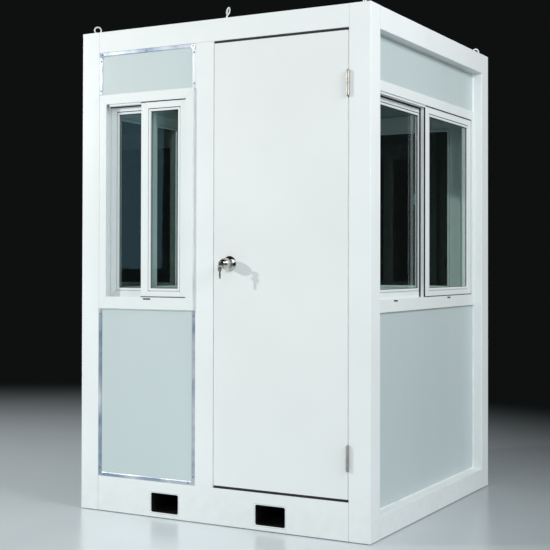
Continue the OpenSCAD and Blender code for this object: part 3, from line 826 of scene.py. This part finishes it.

# %% [markdown]
# Black caps stand over the drain slots in the sill's outer lip. The slots are not cut, and the
# caps' black is painted shade for their dark inside. The frame is 9 mm narrower on each side
# than the opening between the posts: the fitter fills that gap with white silicone, and smooths
# a fillet along the head and the sill, where the frame meets the panels. The same fillet runs
# round the panels of the three walls without metal trims.

# %% Drain caps and sealant
DRAINS = {"front": [11]}  # places of the caps, from the window's middle
DRAINS |= dict.fromkeys(("right", "rear", "left"), [-395, 267])
caps, silicone = [], []
fillet_bead = fillet([(0, 0), (6, 0), (2.2, 2.2), (0, 6)], [0.2, 0.4, 2.5, 0.4], 3)
for wall, mid, half, z0, z1, y in windows():
    for spot in DRAINS[wall]:
        x, z = mid + spot, z0 + SILL
        cap = rectangle((x - 21, z - 11), (x + 21, z - 4.5), 2.8)
        caps += on_wall(wall, [prism(cap, y - 1.2, y + 1, 1, 0.8)])
    # The front's panels lie 2 mm inside the posts' faces, and the other walls' panels 50 mm.
    wall_face, edge, band_y = 50 - HALF, POST_W - HALF, y + 2.5
    if wall == "front":
        wall_face, edge, band_y = FACE, PANEL_X0, y + 11.5
    # At the sides: a band between frame and post, hollowed by the finger.
    for x0, x1 in ((edge, mid - half), (mid + half, 2 * mid - edge)):
        band = [(x0 - 0.5, 0), (x0 - 0.5, 24), (x1 + 0.5, 24), (x1 + 0.5, 0)]
        band.append(((x0 + x1) / 2, 2.4))
        band = fillet(np.add(band, (0, band_y)), [0.2, 0.5, 0.5, 0.2, 4], 3)
        silicone += on_wall(wall, [prism(band, z0 - 3, z1 + 3, 2, 1.5)])
    # Along the head and the sill: a fillet between the frame's edge and the panel.
    for z, way in ((z1, 1), (z0, -1)):
        run = [(edge + 1, wall_face, z), (2 * mid - edge - 1, wall_face, z)][::-way]
        silicone += on_wall(wall, [carried(fillet_bead, run, (0, -1, 0))])
    # On the other walls: round the panels, in the corner that they make with the tubes.
    if wall != "front":
        foot, plan = corners("base_rail_" + wall)[1][2], np.array([-edge, -edge, edge, edge])
        for x, ends in ((plan, (z0 - 1, foot)), (-plan, (z1 + 1, RAIL_Z))):
            path = np.stack([x, np.full(4, wall_face), np.take(ends, [0, 1, 1, 0])], 1)
            silicone += on_wall(wall, [carried(1.3 * fillet_bead, path, (0, -1, 0))])
# The caps' black is painted shade for the dark inside of the drain slots.
piece("drain_caps_painted_slot_shade", "cabin", caps, SLOT_SHADE_NYLON)
piece("window_sealant", "cabin", silicone, SEALANT)

# %% [markdown]
# ## Crescent latches
#
# On the inside, a latch on the middle stile of the inner sash turns a crescent into the
# outer sash. It is a casting: a plate with round ends, a turned boss, and a lever that
# narrows towards its tip.

# %% Latches
latches = []
for wall, mid, half, z0, z1, y in windows():
    y, z = y + LIPS[3] - PLAY, (z0 + z1) / 2
    plate = prism(rectangle((mid - 10, z - 40), (mid + 10, z + 40), 9, 5), y, y + 6, 1, 1.6)
    rim = [(0, 0), (10, 0), (10, 11.5), (9.2, 13.4), (7, 14.6), (3, 15.4), (0, 15.5)]
    boss = turned(rim, (mid, y, z), (0, 1, 0), 32)
    lever = [(mid - 6, z), (mid - 4.2, z + 44), (mid + 4.2, z + 46), (mid + 6, z)]
    lever = prism(fillet(lever, [3, 4, 4, 3], 4), y + 10, y + 15.6, 1, 1.8)
    screw = [(0, 1.1), (2.6, 1), (3.4, 0)]
    screws = [turned(screw, (mid, y + 5.6, z + d), (0, 1, 0), 16) for d in (-31, 31)]
    latches += on_wall(wall, [plate, boss, lever, *screws])
piece("crescent_latches", "cabin", latches, CAST_ENAMEL, ["sash_latches"])

# %% Panes, deck, ceiling and roof keep their CAD shapes
# Cut glass, board and sheet are flat with square edges, as the CAD nodes are, so these only
# change their finish.
KEPT = {"floor_deck": VINYL, "ceiling_panel": CEILING_SHADE, "roof_sheet": ROOF_COAT}
KEPT |= {"window_glass_" + wall: GLASS for wall in WALLS}
for node, material in KEPT.items():
    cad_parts[node].data.materials.clear()
    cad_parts[node].data.materials.append(material)
print("CAD shapes kept:", *KEPT)

# %% [markdown]
# The roof sheet lies inside the four top rails. The fold round its edge is sealed with a
# bead of silicone, squeezed out rather than smoothed, so its section is half round.

# %% Roof bead
(x0, y0, _), (x1, y1, _) = corners("roof_sheet")
path = [(x0, y0, TOP), (x1, y0, TOP), (x1, y1, TOP), (x0, y1, TOP)]
bead = circle(5, 12)
bead[:, 1] = np.clip(bead[:, 1], -1, 3)
piece("roof_bead", "cabin", [carried(bead, path, (0, 0, 1), closed=True)], SEALANT)

# %% [markdown]
# ## The door
#
# The leaf is a slab of foam between two powder-coated skins, folded over its edges, so the
# edges are slightly round. Its latch edge is bevelled, so that it clears the mullion as it
# swings, and it has a bore for the lock. So it is a softened copy of its CAD node.

# %% Leaf, stops and seal
softened("door_leaf", "leaf", "door", POWDER, 2.2)
(LEAF_X0, _, LEAF_Z0), (LEAF_X1, LEAF_BACK, LEAF_Z1) = corners("door_leaf")
(x0, STOP_Y, z0), (x1, stop_back, z1) = corners("door_stops")
STOP_W = 15.0
ring = upright_loop(x0, x1, z0, z1, 0)
outline = rectangle((0, STOP_Y), (STOP_W, stop_back), 1.2)
stops = carried(outline * (-1, 1), ring, (0, 1, 0), closed=True)
piece("stops", "cabin", [stops], ENAMEL, ["door_stops"])

# A black rubber profile with a bulb is pressed on to the stops all round. The closed leaf
# nearly touches it, and it makes the gap round the door look black.
room = STOP_Y - LEAF_BACK
seal = [(0.4, 0), (13.5, 0), (13.5, -1.2), (12.4, 0.8 - room), (9, 0.35 - room)]
seal += [(5.6, 0.8 - room), (4.5, -1.5), (0.4, -1.8)]
seal = fillet(seal, [0.2, 0.3, 1, 1.6, 2.5, 1.6, 1, 0.4], 3)
seal = carried(seal * (-1, 1) + (0, STOP_Y), ring, (0, 1, 0), closed=True)
piece("door_seal", "cabin", [seal], RUBBER)

# Extruded profiles clipped on to the leaf's edges narrow the gaps: white ones at the sides,
# broken off at the hinges, where they hardly show, and black ones along the top and bottom.
# The black ones are painted shade: they darken the top and bottom gaps as the shade in a deep
# slot does.
SEAL_Y, BITE, SIDE_SEAL, TOP_SEAL, LOW_SEAL = (2.2 - HALF, 7 - HALF), 0.6, 4.4, 8.5, 10.5
HINGE_ROOM = 112  # a hinge with its tips
(_, _, hinge_z0), (_, _, hinge_z1) = corners("hinge_fixed_leaves")


def edge_seal(x0, x1, z0, z1, along):
    """Seal between two opposite corners, in the depth that all of these share."""
    return bar((x0, SEAL_Y[0], z0), (x1, SEAL_Y[1], z1), along, 1.2, 0.5)


stretches = [(LEAF_Z0, hinge_z0 - 2), (hinge_z0 + HINGE_ROOM, hinge_z1 - HINGE_ROOM)]
stretches += [(hinge_z1 + 7, LEAF_Z1)]
side_seals = [edge_seal(LEAF_X0 - SIDE_SEAL, LEAF_X0 + BITE, LEAF_Z0, LEAF_Z1, 2)]
side_seals += [edge_seal(LEAF_X1 - BITE, LEAF_X1 + SIDE_SEAL, *ends, 2) for ends in stretches]
piece("side_seals", "door", side_seals, WHITE_SEAL)
ends = ((LEAF_Z0 - LOW_SEAL, LEAF_Z0 + BITE), (LEAF_Z1 - BITE, LEAF_Z1 + TOP_SEAL))
# Black, as painted shade in the top and bottom gaps.
black_gap_seals = [edge_seal(LEAF_X0, LEAF_X1, low, high, 0) for low, high in ends]
piece("top_and_bottom_seals_painted_shade", "door", black_gap_seals, RUBBER)

# %% [markdown]
# ## Lift-off hinges
#
# Each hinge is two stainless plates with a knuckle: the lower knuckle belongs to the post and
# carries the pin, and the upper one belongs to the door and drops on to it, so that the door
# can be lifted off. Only the knuckles stand outside; the plates lie in the gap. A knuckle is
# plate rolled round the pin, and the pin ends in a small turned tip.

# %% Hinges
HINGE_H, KNUCKLE_R, TIP_H, PLATE_T = 102.0, 6.5, 5.0, 2.3
GAP, PLATE_Y = 2.75, (1 - HALF, 35 - HALF)  # half the gap between leaf and post; plates' depth
HINGE_X, HINGE_Y = HALF - POST_W - GAP, -HALF - KNUCKLE_R - 0.5
fixed_low, door_high = corners("hinge_fixed_leaves")[0], corners("hinge_door_leaves")[1]
fixed, on_door = [], []
for z in (fixed_low[2] + TIP_H + HINGE_H / 2, door_high[2] - TIP_H - HINGE_H / 2):
    low, high, length = z - HINGE_H / 2, z + HINGE_H / 2, HINGE_H / 2 - 0.3
    rolled = [(0, 0), (5.2, 0), (6.2, 0.4), (KNUCKLE_R, 1.2)]
    rolled += [(r, length - h) for r, h in rolled[::-1]]
    tip = [(0, 0), (3.1, 0), (3.1, -0.8), (5.1, -1.6), (5.2, -2.4), (4.2, -4), (2.2, -4.8)]
    tip.append((0, -TIP_H))
    # The two halves mirror each other: way is 1 for the post's and -1 for the door's.
    for way, parts, foot, ends in (
        (1, fixed, low, (low, z - 0.3)),
        (-1, on_door, high, (z + 0.3, high)),
    ):
        for profile, count in ((rolled, 40), (tip, 32)):
            parts.append(turned(profile, (HINGE_X, HINGE_Y, foot), (0, 0, way), count))
        x0, x1 = sorted((HINGE_X + way * (GAP - PLATE_T), HINGE_X + way * GAP))
        parts.append(bar((x0, PLATE_Y[0], low), (x1, PLATE_Y[1], high), 2, 0.4, 0.4))
        tongue = (x0, HINGE_Y, ends[0] + 0.5), (x1, 2 - HALF, ends[1] - 0.5)
        parts.append(bar(*tongue, 2, 0.4, 0.4))
piece("hinges_on_post", "cabin", fixed, BRUSHED, ["hinge_fixed_leaves"])
piece("hinges_on_door", "door", on_door, BRUSHED, ["hinge_door_leaves"])

# %% [markdown]
# ## Lockset
#
# A ball-shaped knob in front of a dished rose, both turned from stainless steel and polished.
# The profile is what the lathe tool follows: for the knob a neck, a swelling body, a groove
# round its face and a plug for the key.

# %% Roses, knobs, latch and strike plate
(x0, _, z0), (x1, _, z1) = corners("outer_knob")
KNOB = np.array([(x0 + x1) / 2, 0, (z0 + z1) / 2])  # on the knobs' axis
SIDES = ((-HALF, -1), (LEAF_BACK, 1))  # the leaf's two faces, and the ways out of them
rose = [(11.6, 0), (34, 0), (34, 1.0), (33.4, 2.0), (31.8, 3.0), (29, 4.6), (25.5, 6.2)]
rose += [(22.5, 7.3), (19.5, 7.9), (16, 8), (13.2, 7.9), (12.2, 7.3), (11.6, 6.4)]
roses = [turned(rose, KNOB + (0, y, 0), (0, way, 0), 64, closed=True) for y, way in SIDES]
piece("roses", "door", roses, POLISHED, ["knob_roses"])

knob = [(0, 3), (10.8, 3), (10.8, 13.5), (11.6, 15.6), (14.5, 17.4), (19, 20.2), (22.6, 24.2)]
knob += [(24.9, 29), (26, 35), (25.9, 41), (24.8, 47), (22.7, 52.4), (20.6, 56.2), (19.6, 57.2)]
knob += [(19.3, 56.8), (18.8, 57.1), (18.3, 58.4), (16.8, 60.2), (14, 62), (11, 63), (8.9, 63.5)]
knob += [(8.6, 63.2), (8.5, 62.2), (8.3, 62.0), (7.9, 63.2), (7.2, 63.7), (3.5, 63.9), (0, 63.9)]
NAMES = (("knob_outside", "outer_knob"), ("knob_inside", "inner_knob"))
for (name, node), (y, way) in zip(NAMES, SIDES):
    body = turned(knob, KNOB + (0, y, 0), (0, way, 0), 72)
    piece(name, "knob", [body], POLISHED, [node])

softened("latch_faceplate", "faceplate", "door", BRUSHED, 0.4)
softened("strike_plate", "strike", "cabin", BRUSHED, 0.4)
low, high = corners("strike_plate")
strike = np.array([high[0] - 0.1, (low[1] + high[1]) / 2, (low[2] + high[2]) / 2])
screw = [(0, 0.35), (2.2, 0.5), (3.4, 0.35), (3.8, 0)]
screws = [turned(screw, strike + (0, 0, d), (1, 0, 0), 20) for d in (-21, 21)]
piece("strike_screws", "cabin", screws, RIVET)

# %% [markdown]
# ## Keys
#
# One key is in the lock, and a split ring with two spares hangs from it. A key is stamped
# from 2 mm plated brass: a round bow with a hole, and a blade with cuts.

# %% Keys and their ring
KEY_T, BOW_R, HOLE_R, BLADE_H = 2.2, 11.0, 3.5, 7.0
ROOT = BOW_R - 1.5  # from a bow's middle to where its blade begins
RING_R, WIRE, PLAY_IN_HOLE = 9.5, 1.0, 0.2
bow_y = corners("door_key")[0][1] + BOW_R
bow = [(HOLE_R, -0.8), (HOLE_R + 0.3, -KEY_T / 2), (BOW_R - 0.4, -KEY_T / 2), (BOW_R, -0.7)]
bow += [(r, -x) for r, x in bow[::-1]]


def key_bow(z):
    """Disc with a hole, in the plane of the knob's axis and the upright."""
    return turned(bow, (KNOB[0], bow_y, z), (1, 0, 0), 40, closed=True)


def blade(start, stop):
    """Blade along y, with a row of cuts: its lower edge steps up at each."""
    cuts = np.array([0, 0, 0.2, 1.6, 0.4, 2.2, 0.5, 1.1, 0.3, 2.6, 0.6, 1.5, 0.8, 2.0, 2.8])
    edge = np.stack([np.linspace(start, stop, len(cuts)), -BLADE_H / 2 + cuts], 1)
    back = [(stop, BLADE_H / 2 - 0.8), (start, BLADE_H / 2)]
    return prism(np.concatenate([edge, back]), -KEY_T / 2, KEY_T / 2, 0, 0.3)


# The blade in the lock ends just inside the plug.
key = [key_bow(KNOB[2]), *moved([blade(bow_y + ROOT, -HALF - 62.6)], KNOB)]
piece("key_in_lock", "knob", key, NICKEL, ["door_key"])

ring_z = KNOB[2] - HOLE_R + WIRE + PLAY_IN_HOLE - RING_R
spare_z = ring_z - RING_R + WIRE + PLAY_IN_HOLE - HOLE_R
wire = circle(WIRE, 12) + (RING_R, 0)
spares = [turned(wire, (KNOB[0], bow_y, ring_z), (0, 1, 0), 48, closed=True)]
UPRIGHT = np.eye(3)[[0, 2, 1]]  # turns a blade along y into a blade along z
spare = blade(spare_z - ROOT, corners("spare_keys")[0][2] + 0.3)
spare = moved([spare], (KNOB[0], bow_y, 0), UPRIGHT)
for x in (-2, 2):
    spares += moved([key_bow(spare_z), *spare], (x, 0, 0))
piece("spare_keys_on_ring", "knob", spares, NICKEL, ["spare_keys"])

# %% [markdown]
# ## Lifting eyes
#
# Six eyes of bent round bar are welded on top, for a crane's hooks: one on each corner post,
# and one on a longer shank in the middle of the front and rear rails. The middle ones lean,
# as hand-welded eyes do. An eye is a small circle turned round a large one, a shank, and a
# foot whose weld runs up on to the bar in a soft collar.

# %% Eyes
EYE_R, BAR_R, FOOT_H = 15.5, 3.5, 2


def lifting_eye(x, y, shank, lean, turn):
    """Ring on a shank that leans about its foot, cut off level with the rail."""
    foot = [(0, 0), (7.6, 0), (7.4, 1.0), (6.4, 2.4), (5.2, 3.6), (4.3, 5.4), (BAR_R, 7.4)]
    foot += [(BAR_R, shank + 3), (0, shank + 3)]
    centre = (0, 0, shank + EYE_R + BAR_R)
    ring = turned(circle(BAR_R, 16) + (EYE_R, 0), centre, (1, 0, 0), 48, closed=True)
    foot = [(r, max(h - FOOT_H, 0.1 - FOOT_H)) for r, h in foot]
    upright = turned(foot, (0, 0, 0), (0, 0, 1), 24)
    leaning = moved([ring, upright], (x, y, TOP + FOOT_H), spin(lean, "Y") @ spin(turn, "Z"))
    return [(np.maximum(points, (-HALF, -HALF, TOP - 0.5)), faces) for points, faces in leaning]


RAIL_MID = HALF - 50  # from the cabin's middle to a rail's
SHANKS = (1, 20)  # at the corners and in the middle
SHIFT, LEAN, TURN = 18, 16, 12  # how the middle eyes stand
eyes = []
for sy in (-1, 1):
    for sx in (-1, 1):
        eyes += lifting_eye(sx * RAIL_MID, sy * RAIL_MID, SHANKS[0], 0, -sx * sy * 45)
    eyes += lifting_eye(SHIFT, sy * RAIL_MID, SHANKS[1], LEAN, TURN)
piece("lifting_eyes_on_top", "cabin", eyes, BRUSHED_PAINT, ["lifting_eyes"])

# %% [markdown]
# ## Camera
#
# The camera stands at chest height, to the right of the front, and looks almost level. The
# lens's shift moves the picture instead of a tilt, as on an architect's camera, so that
# upright lines stay upright.

# %% Camera
# The picture's side, the focal length and the level of the lens's axis, in one unit.
SIDE, FOCAL, AXIS_LEVEL = 550, 1166.02, 250.57
SENSOR = 36  # mm
STAND = (2.7364, -5.1610, 1.1550)
HEADING, TILT, ROLL = (math.radians(angle) for angle in (28.932, 90 + 0.680, 0.113))
scene = bpy.context.scene
camera = bpy.data.objects.new("camera", bpy.data.cameras.new("camera"))
scene.collection.objects.link(camera)
scene.camera = camera
camera.data.lens = SENSOR * FOCAL / SIDE
camera.data.shift_y = AXIS_LEVEL / SIDE - 0.5
camera.matrix_world = (
    Matrix.Translation(STAND)
    @ Matrix.Rotation(HEADING, 4, "Z")
    @ Matrix.Rotation(TILT, 4, "X")
    @ Matrix.Rotation(ROLL, 4, "Z")
)
print("camera at", STAND, "metres")

# %% [markdown]
# ## Studio
#
# The floor is pale and a little glossy near the cabin, and fades into a dark hall further
# out: a painted pool of light round a point in front of the cabin and to its left. A white
# cabin needs a dark room to stand out, and its windows look dark because what is behind them
# is dark. Only rays that look at the hall, mirror it or pass through glass see it dark. Soft
# light still comes from all round. The floor lies 3 mm below the cabin's foot: no real floor
# touches a frame all along, and the gap gives the thin dark line under it.

# %% Floor and backdrop
HALL = "0e1110"
REACH, DROP = 30, -0.003  # half the floor's side and its height, in metres


def studio_floor():
    """Pale glossy floor whose own colour gives way to the hall's from 1.5 m to 6.3 m away from a
    point in front of the cabin and to its left: a painted pool of light."""
    material, tree, place = blank("floor_with_painted_light_pool")
    away = add(tree, "VectorMath", {0: place, 1: (-1.75, -1.7, 0)}, operation="DISTANCE")
    # Painted pool of light: the pale paint gives way to the hall's dark glow with distance.
    far = mapped(tree, away.outputs["Value"], 1.5, 6.3, way="SMOOTHSTEP")
    cloud = noise(tree, place, 500, 4.0)
    paint = {"Base Color": mixed(tree, cloud, srgb("dbe3e6"), srgb("d0d9dd")), "Roughness": 0.24}
    paint = add(tree, "BsdfPrincipled", paint).outputs[0]
    switched(tree, far, paint, add(tree, "Emission", {"Color": srgb(HALL)}).outputs[0])
    return material


mesh = bpy.data.meshes.new("floor")
plan = [(-REACH, -REACH, DROP), (REACH, -REACH, DROP), (REACH, REACH, DROP), (-REACH, REACH, DROP)]
mesh.from_pydata(plan, [], [(0, 1, 2, 3)])
floor = bpy.data.objects.new("floor", mesh)
scene.collection.objects.link(floor)
mesh.materials.append(studio_floor())

scene.world = bpy.data.worlds.new("studio")
scene.world.use_nodes = True
tree = scene.world.node_tree
tree.nodes.clear()
seen = any_ray(tree, "Is Camera Ray", "Is Glossy Ray", "Is Transmission Ray")
soft = add(tree, "Background", {"Color": srgb("eef4f8"), "Strength": 0.5}).outputs[0]
dark = add(tree, "Background", {"Color": srgb(HALL), "Strength": 1.0}).outputs[0]
switched(tree, seen, soft, dark, "OutputWorld")

# %% [markdown]
# The key lamp is small and far off to the left, so the keys and the hinges cast sharp shadows
# on the door. Large soft lamps in front and at the right fill the walls. The card is a bluish
# reflector for the left pane of the front window to mirror. The rear lamp lights the back for
# views from behind, and rays that look, mirror or pass through glass don't see it.


# %% Lamps
def lamp(name, place, target, size, power, code):
    """Rectangular soft light that faces its target. power is in watts, and size in metres."""
    light = bpy.data.lights.new(name, "AREA")
    light.shape, (light.size, light.size_y) = "RECTANGLE", size
    light.energy, light.color = power, srgb(code)[:3]
    ob = bpy.data.objects.new(name, light)
    scene.collection.objects.link(ob)
    ob.location = place
    ob.rotation_euler = (Vector(target) - Vector(place)).to_track_quat("-Z", "Y").to_euler()
    return ob


lamp("key", (-5.4, -4.2, 3.1), (0, -0.7, 1.2), (0.12, 0.12), 217, "fffaf4")
lamp("front", (0.7, -5.9, 3.0), (0.1, -0.5, 0.9), (2.8, 2.0), 61, "ffffff")
lamp("right", (3.9, -1.3, 3.05), (0.75, 0, 1.55), (2.4, 1.6), 112, "ffffff")
lamp("card", (-4.7, -5.6, 2.3), (-0.4, -0.75, 1.6), (1.8, 2.4), 11, "8cc0d6")
rear = lamp("rear", (-1.2, 5.6, 2.9), (0.0, 0.6, 1.1), (3.0, 2.0), 34, "ffffff")
rear.visible_camera = rear.visible_glossy = rear.visible_transmission = False
scene.view_settings.view_transform = "Standard"
